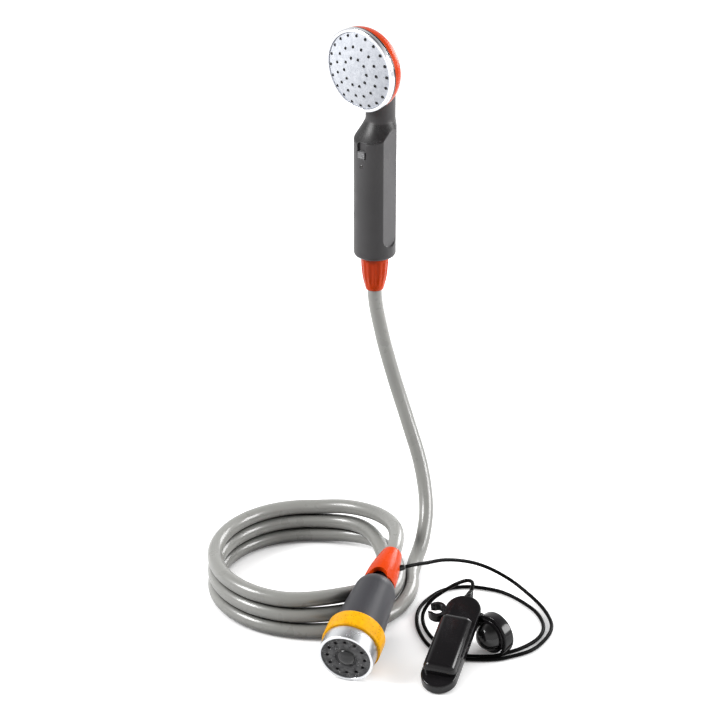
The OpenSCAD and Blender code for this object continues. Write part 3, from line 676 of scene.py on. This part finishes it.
def in_cup(points):
    """Cup millimetres (z out of its dome, y up) to the shared frame."""
    return CUP_AT + turn_z(turn_x(mm(points), 90), CUP_TURN)


cup_dome = flowing([[AXIS_R, 10.5], [3.5, 10.05], [6.4, 8.75], [8.8, 6.7], [10.6, 4.1], [11.7, 1.6],
                    [12, 0.4]], 6)
cup_neck = [[11.6, 0.3], [11.6, -6.3]]
cup_flare = flowing([[12.5, -6.4], [13.3, -6.9], [14.5, -8.1], [14.95, -9.1]], 4)
cup_rim = rounded([[CUP_R, -9.3], [CUP_R, -9.9], [13.5, -9.9]], 0.25)
cup_mouth = flowing([[13.2, -9.6], [9, -7.3], [AXIS_R, -6.3]], 5)
cup = np.vstack([cup_dome, cup_neck, cup_flare, cup_rim, cup_mouth])
stands_for(turned("cup_rubber", cup, in_cup, closed=False, smooth_angle=45), "suction_cup")


def cup_strap():
    """The strap over the cup: a rounded section swept round the cup's axis, from low on its right over its
    top to the pack."""
    inner_r, outer_r, front, back = 15.3, 18.2, -10.4, -0.6
    section = rounded([[inner_r, front], [outer_r, front], [outer_r, back], [inner_r, back]],
                      [0.3, 1.0, 1.0, 0.3], closed=True)
    turn = np.radians(np.linspace(-38, 152, 60))[:, None]
    r, along = section.T
    rows = np.stack(np.broadcast_arrays(r * np.cos(turn), r * np.sin(turn), along), axis=-1)
    faces = grid_faces(len(turn), len(section), True)
    return close_shell(mesh_object("cup_strap", in_cup(rows.reshape(-1, 3)), faces), smooth_angle=45)


rides_on(cup_strap(), "set", "black")


# Ribbed boot of the lead
def in_boot(points):
    """Boot millimetres (z along the lead, away from the pack) to the shared frame."""
    x, y, z = np.moveaxis(np.asarray(points, dtype=float), -1, 0)
    return in_pack(np.stack([x, z, y + BOOT_LIFT], axis=-1))


BOOT_START = 100.1
boot_ribs = [[4, BOOT_START], [4, 101.6], [2.9, 101.7], [2.9, 102.4], [3.6, 102.5], [3.3, 103.7],
             [2.5, 103.8], [2.5, 104.5], [3.1, 104.6], [2.8, 105.8], [2.1, 105.9], [2.1, 106.5],
             [2.5, 106.6], [2.1, BOOT_END]]
boot = np.vstack([[[AXIS_R, BOOT_START]], rounded(boot_ribs, 0.2, steps=2), [[AXIS_R, BOOT_END]]])
stands_for(turned("lead_boot", boot, in_boot, 40, closed=False), "strain_relief")


# Shared effects for the materials
def feed(tree, socket, value):
    """Fills a socket with a link from another socket, a colour or a plain number."""
    if hasattr(value, "is_linked"):
        tree.links.new(value, socket)
    elif isinstance(value, tuple):
        socket.default_value = (*value, 1)
    else:
        socket.default_value = value


def noise(tree, place, scale, detail):
    """A noise texture's value on the given coordinates."""
    made = tree.nodes.new("ShaderNodeTexNoise")
    made.inputs["Detail"].default_value = detail
    feed(tree, made.inputs["Scale"], scale)
    feed(tree, made.inputs["Vector"], place)
    return made.outputs["Fac"]


def ramp_value(tree, source, low, high, to_low, to_high):
    """A value mapped from one range to another and clamped."""
    made = tree.nodes.new("ShaderNodeMapRange")
    for label, value in (("Value", source), ("From Min", low), ("From Max", high), ("To Min", to_low),
                         ("To Max", to_high)):
        feed(tree, made.inputs[label], value)
    return made.outputs["Result"]


def reckon(tree, operation, first, second):
    """Two values put through one step of arithmetic."""
    made = tree.nodes.new("ShaderNodeMath")
    made.operation = operation
    feed(tree, made.inputs[0], first)
    feed(tree, made.inputs[1], second)
    return made.outputs["Value"]


def mix_colour(tree, factor, first, second):
    """Two colours mixed by a factor."""
    made = tree.nodes.new("ShaderNodeMix")
    made.data_type = "RGBA"
    for value, socket in ((factor, made.inputs[0]), (first, made.inputs[6]), (second, made.inputs[7])):
        feed(tree, socket, value)
    return made.outputs[2]


def open_air(tree, reach, low, high, least):
    """1 in the open, down to a least value where other surfaces stand within reach."""
    made = tree.nodes.new("ShaderNodeAmbientOcclusion")
    made.inputs["Distance"].default_value = reach
    made.samples = 8
    return ramp_value(tree, made.outputs["AO"], low, high, least, 1)


def node_group(name, inputs, outputs):
    """An empty shader node group with named sockets, and its two ends."""
    group = bpy.data.node_groups.new(name, "ShaderNodeTree")
    for label, value in inputs.items():
        kind = "NodeSocketColor" if isinstance(value, tuple) else "NodeSocketFloat"
        made = group.interface.new_socket(name=label, in_out="INPUT", socket_type=kind)
        made.default_value = (*value, 1) if isinstance(value, tuple) else value
    for label, kind in outputs.items():
        group.interface.new_socket(name=label, in_out="OUTPUT", socket_type=kind)
    return group, group.nodes.new("NodeGroupInput").outputs, group.nodes.new("NodeGroupOutput").inputs


def make_moulded():
    """Moulded plastic: soft drift of tone, smears in the gloss and a fine grain height."""
    group, given, out = node_group(
        "moulded_surface",
        {"Colour": (0.5, 0.5, 0.5), "Shade": (0.4, 0.4, 0.4), "Grain Scale": 900.0, "Gloss Low": 0.3,
         "Gloss High": 0.4},
        {"Colour": "NodeSocketColor", "Roughness": "NodeSocketFloat", "Height": "NodeSocketFloat"})
    place = group.nodes.new("ShaderNodeTexCoord").outputs["Object"]
    drift = ramp_value(group, noise(group, place, 22, 3), 0.35, 0.7, 0, 1)
    smear = noise(group, place, 70, 5)
    gloss = ramp_value(group, smear, 0.35, 0.65, given["Gloss Low"], given["Gloss High"])
    feed(group, out["Colour"], mix_colour(group, drift, given["Colour"], given["Shade"]))
    feed(group, out["Roughness"], gloss)
    feed(group, out["Height"], noise(group, place, given["Grain Scale"], 4))
    return group


def make_flecks():
    """Flecks strewn over a drifting ground: cells whose centre lies near make the fleck, and a second
    noise thins them out in places."""
    group, given, out = node_group(
        "strewn_flecks",
        {"Ground": (0.5, 0.5, 0.5), "Drift": (0.4, 0.4, 0.4), "Fleck": (0.1, 0.1, 0.1), "Scale": 900.0,
         "Size": 0.3},
        {"Colour": "NodeSocketColor", "Mask": "NodeSocketFloat"})
    place = group.nodes.new("ShaderNodeTexCoord").outputs["Object"]
    cells = group.nodes.new("ShaderNodeTexVoronoi")
    feed(group, cells.inputs["Vector"], place)
    feed(group, cells.inputs["Scale"], given["Scale"])
    near = reckon(group, "LESS_THAN", cells.outputs["Distance"], given["Size"])
    thin = ramp_value(group, noise(group, place, 160, 3), 0.4, 0.56, 0.15, 1)
    mask = reckon(group, "MULTIPLY", near, thin)
    tone = ramp_value(group, noise(group, place, 260, 4), 0.38, 0.64, 0, 1)
    ground = mix_colour(group, tone, given["Ground"], given["Drift"])
    feed(group, out["Colour"], mix_colour(group, mask, ground, given["Fleck"]))
    feed(group, out["Mask"], mask)
    return group


MOULDED = make_moulded()
FLECKS = make_flecks()
GRAIN_DEPTH = 0.00004
FLECK_DEPTH = 0.00003
FLECK_BUMP = 0.15
COAT_ROUGH = 0.08


def blank(name):
    """A new node material and its surface shader."""
    made = bpy.data.materials.new(name)
    made.use_nodes = True
    return made, made.node_tree, made.node_tree.nodes["Principled BSDF"]


def place_group(tree, group, **values):
    """A group placed in a material with its own values; underscores stand for spaces."""
    made = tree.nodes.new("ShaderNodeGroup")
    made.node_tree = group
    for label, value in values.items():
        feed(tree, made.inputs[label.replace("_", " ")], value)
    return made.outputs


def bump(tree, shader, height, strength, distance):
    """Height to the shader's normal."""
    made = tree.nodes.new("ShaderNodeBump")
    made.inputs["Strength"].default_value = strength
    made.inputs["Distance"].default_value = distance
    feed(tree, made.inputs["Height"], height)
    feed(tree, shader.inputs["Normal"], made.outputs["Normal"])


def moulded(name, colour, shade, gloss, grain=900.0, strength=0.25, coat=0.0, metallic=0.0, specular=0.5):
    """A moulded material: tone drift, gloss between two values and a fine grain."""
    made, tree, shader = blank(name)
    skin = place_group(tree, MOULDED, Colour=colour, Shade=shade, Grain_Scale=grain, Gloss_Low=gloss[0],
                       Gloss_High=gloss[1])
    feed(tree, shader.inputs["Base Color"], skin["Colour"])
    feed(tree, shader.inputs["Roughness"], skin["Roughness"])
    shader.inputs["Coat Weight"].default_value = coat
    shader.inputs["Coat Roughness"].default_value = COAT_ROUGH
    shader.inputs["Metallic"].default_value = metallic
    shader.inputs["Specular IOR Level"].default_value = specular
    bump(tree, shader, skin["Height"], strength, GRAIN_DEPTH)
    return made


def flecked(name, ground, drift, fleck, scale, size, rough, coat=0.0, specular=0.5):
    """A material with flecks strewn over a drifting ground."""
    made, tree, shader = blank(name)
    skin = place_group(tree, FLECKS, Ground=ground, Drift=drift, Fleck=fleck, Scale=scale, Size=size)
    feed(tree, shader.inputs["Base Color"], skin["Colour"])
    shader.inputs["Roughness"].default_value = rough
    shader.inputs["Coat Weight"].default_value = coat
    shader.inputs["Specular IOR Level"].default_value = specular
    bump(tree, shader, skin["Mask"], FLECK_BUMP, FLECK_DEPTH)
    return made


def colour_of(made):
    """A material's tree, and the socket that its colour comes from and goes to."""
    tone = made.node_tree.nodes["Principled BSDF"].inputs["Base Color"]
    return made.node_tree, tone.links[0].from_socket, tone


def skin_mark(tree, name):
    """A mark on the piece's skin, 0 to 1."""
    made = tree.nodes.new("ShaderNodeAttribute")
    made.attribute_name = name
    return made.outputs["Fac"]


def shaded(colour, share):
    """A colour brought down to a share of itself."""
    return tuple(share * v for v in colour)


def panelled(name, body, panel, gloss):
    """The grip's finish: moulded body, side panels paler with a painted sheen, and a dark pitted
    thumb rest, told apart by the skin's own marks."""
    made = moulded(name, body, shaded(body, 0.84), gloss, 1400.0, specular=0.3)
    tree, body_tone, tone = colour_of(made)
    # painted sheen: the side panels take a paler colour than the body
    panel_sheen = place_group(tree, MOULDED, Colour=panel, Shade=shaded(panel, 0.88), Grain_Scale=2200.0)
    pitted = place_group(tree, FLECKS, Ground=shaded(body, 0.32), Drift=shaded(body, 0.18), Fleck=panel,
                         Scale=1500.0, Size=0.24)
    sides = mix_colour(tree, skin_mark(tree, "side_panel"), body_tone, panel_sheen["Colour"])
    feed(tree, tone, mix_colour(tree, skin_mark(tree, "thumb_rest"), sides, pitted["Colour"]))
    return made


def shaded_in_crevices(made, reach, least):
    """Darkens a material's colour where other surfaces stand close by: painted shade in crevices."""
    tree, skin_tone, tone = colour_of(made)
    # colour of the painted shade that fills the crevices
    crevice_shade = (0.008, 0.008, 0.007)
    feed(tree, tone, mix_colour(tree, open_air(tree, reach, 0.2, 0.85, least), crevice_shade, skin_tone))
    return made


FINISH = {
    # the paler panel colour is a painted sheen on the grip's sides
    "grip_grey": panelled("grip_grey", (0.055, 0.053, 0.055), (0.125, 0.122, 0.126), (0.36, 0.46)),
    "orange": moulded("orange_shell", (0.70, 0.056, 0.002), (0.60, 0.043, 0.002), (0.2, 0.3), 700,
                      strength=0.0, coat=0.02, specular=0.1),
    "spray_white": flecked("spray_face", (0.70, 0.725, 0.78), (0.58, 0.605, 0.66), (0.43, 0.45, 0.51),
                           900, 0.26, 0.32, specular=0.3),
    "chrome": moulded("chrome_ring", (0.72, 0.73, 0.76), (0.62, 0.63, 0.66), (0.10, 0.18), 500,
                      strength=0.02, metallic=1.0),
    "rubber_black": moulded("rubber", (0.007, 0.007, 0.007), (0.012, 0.012, 0.012), (0.12, 0.2), 1500,
                            strength=0.05),
    "clear_white": moulded("inner_white", (0.7, 0.7, 0.68), (0.6, 0.6, 0.58), (0.4, 0.5)),
    "button_grey": moulded("button_grey", (0.17, 0.17, 0.175), (0.13, 0.13, 0.135), (0.3, 0.4), 1500),
    "black": moulded("black_shell", (0.006, 0.006, 0.0065), (0.010, 0.009, 0.010), (0.10, 0.18), 600,
                     strength=0.05, specular=0.3),
    "lens": moulded("dark_lens", (0.015, 0.012, 0.012), (0.02, 0.015, 0.015), (0.08, 0.12), 500,
                    strength=0.02),
    # painted shade: the hose's colour darkens between its turns and where it nears the floor
    "hose_grey": shaded_in_crevices(moulded("hose_skin", (0.30, 0.30, 0.283), (0.26, 0.26, 0.245), (0.26, 0.34), 500,
                                  strength=0.04, coat=0.3), reach=0.016, least=0.05),
    "pump_grey": moulded("pump_grey", (0.047, 0.047, 0.054), (0.039, 0.039, 0.045), (0.32, 0.42), 1300,
                         specular=0.25),
    "steel": moulded("polished_steel", (0.78, 0.79, 0.81), (0.70, 0.71, 0.73), (0.27, 0.29), 800,
                     strength=0.0, metallic=1.0),
    "strainer_grey": flecked("strainer_face", (0.15, 0.15, 0.153), (0.06, 0.06, 0.063), (0.7, 0.7, 0.71),
                             430, 0.16, 0.42, specular=0.25),
    "strainer_boss": moulded("strainer_boss", (0.018, 0.018, 0.019), (0.012, 0.012, 0.013), (0.16, 0.22), 900,
                             strength=0.05),
    # painted shade: a darker copy of the shell's orange for the hose nut
    "orange_shaded": moulded("orange_nut", (0.66, 0.055, 0.002), (0.46, 0.030, 0.001), (0.2, 0.28), 700,
                           strength=0.06, coat=0.03, specular=0.12),
    "yellow": flecked("collar_yellow", (0.92, 0.45, 0.002), (0.82, 0.37, 0.002), (0.56, 0.22, 0.002),
                      420, 0.22, 0.3, coat=0.06, specular=0.14),
    "brass": moulded("bush_brass", (0.7, 0.48, 0.18), (0.6, 0.4, 0.15), (0.2, 0.3), 700, metallic=1.0),
    "lead_black": moulded("lead_black", (0.002, 0.002, 0.002), (0.003, 0.003, 0.003), (0.3, 0.4), 900,
                          specular=0.05),
    "cell_grey": moulded("cell_jacket", (0.25, 0.27, 0.3), (0.2, 0.22, 0.25), (0.3, 0.4)),
    "board_green": moulded("board_green", (0.02, 0.14, 0.05), (0.015, 0.1, 0.04), (0.35, 0.45)),
}
# the nut takes the darker copy of the orange, which paints in its shade
OWN_FINISH = {"nut_shell": "orange_shaded", "strainer_boss": "strainer_boss"}

for piece, slot in to_dress:
    piece.data.materials.clear()
    piece.data.materials.append(FINISH[OWN_FINISH.get(piece.name, slot)])


# Pale floor and soft studio light
def ray(tree, kind):
    """1 for one kind of ray, 0 for the others."""
    return tree.nodes.new("ShaderNodeLightPath").outputs[kind]


def seen_directly(tree):
    """1 for rays from the camera and for mirrored or transmitted ones, 0 for light."""
    mirrored = reckon(tree, "MAXIMUM", ray(tree, "Is Camera Ray"), ray(tree, "Is Glossy Ray"))
    return reckon(tree, "MAXIMUM", mirrored, ray(tree, "Is Transmission Ray"))


def studio_world():
    """White to the camera. Mirrors see it white too, apart from a dark patch overhead, and its light comes
    more from behind than from the front."""
    world = bpy.data.worlds.new("studio")
    world.use_nodes = True
    tree = world.node_tree
    way = tree.nodes.new("ShaderNodeSeparateXYZ")
    feed(tree, way.inputs["Vector"], tree.nodes.new("ShaderNodeTexCoord").outputs["Generated"])
    overhead = ramp_value(tree, way.outputs["Z"], 0.55, 0.9, 1.0, 0.12)
    light = ramp_value(tree, way.outputs["Y"], -0.9, 0.1, 0.05, 0.42)
    shown = reckon(tree, "MAXIMUM", overhead, ray(tree, "Is Camera Ray"))
    sky = tree.nodes["Background"]
    feed(tree, sky.inputs["Color"], (1, 1, 1))
    feed(tree, sky.inputs["Strength"], ramp_value(tree, seen_directly(tree), 0, 1, light, shown))
    return world


bpy.context.scene.world = studio_world()


def white_paper():
    """White to the camera, with the set's shadow: the paper's own glow, for rays that see it directly,
    grows with the distance from the set and fades where the set stands close. Bounced light finds the
    paper greyer."""
    made, tree, shader = blank("white_paper")
    shader.inputs["Roughness"].default_value = 0.9
    shader.inputs["Specular IOR Level"].default_value = 0.0
    bounce = ray(tree, "Is Diffuse Ray")
    feed(tree, shader.inputs["Base Color"], mix_colour(tree, bounce, (0.82, 0.82, 0.82), (0.42, 0.42, 0.42)))
    spread = tree.nodes.new("ShaderNodeVectorMath")
    spread.operation = "LENGTH"
    feed(tree, spread.inputs[0], tree.nodes.new("ShaderNodeTexCoord").outputs["Object"])
    further = ramp_value(tree, spread.outputs["Value"], 0.25, 1.4, 0.36, 0.75)
    glow = reckon(tree, "MULTIPLY", further, seen_directly(tree))
    lift = reckon(tree, "MULTIPLY", ray(tree, "Is Camera Ray"), 0.34)
    shine = reckon(tree, "ADD", glow, lift)
    contact = open_air(tree, 0.035, 0.15, 0.9, 0.12)
    feed(tree, shader.inputs["Emission Color"], (1, 1, 1))
    feed(tree, shader.inputs["Emission Strength"], reckon(tree, "MULTIPLY", shine, contact))
    return made


FLOOR_HALF = 4
FLOOR_DROP = 0.0004
FLOOR_LINES = 9
floor_side = np.linspace(-FLOOR_HALF, FLOOR_HALF, FLOOR_LINES)
floor_x, floor_y = np.meshgrid(floor_side, floor_side, indexing="ij")
floor_points = np.stack([floor_x, floor_y, np.full_like(floor_x, -FLOOR_DROP)], axis=-1).reshape(-1, 3)
floor = mesh_object("floor", floor_points, grid_faces(FLOOR_LINES, FLOOR_LINES, False)[:, ::-1])
floor.data.materials.append(white_paper())


def softbox(name, place, aim, size, power):
    """A square area lamp aimed at a point."""
    data = bpy.data.lights.new(name, "AREA")
    data.size = size
    data.energy = power
    lamp = bpy.data.objects.new(name, data)
    lamp.location = place
    x, y, z = np.subtract(aim, place)
    lamp.rotation_euler = (math.atan2(math.hypot(x, y), -z), 0, math.atan2(y, x) - math.pi / 2)
    bpy.context.scene.collection.objects.link(lamp)


softbox("key_box", place=(1.5, -0.15, 0.8), aim=(0, 0, 0.2), size=0.8, power=26)
softbox("left_box", place=(-1.3, -0.25, 1.1), aim=(-0.05, 0, 0.15), size=0.6, power=26)
softbox("rim_box", place=(0.75, 1.0, 0.55), aim=(0.03, 0, 0.2), size=0.5, power=7)
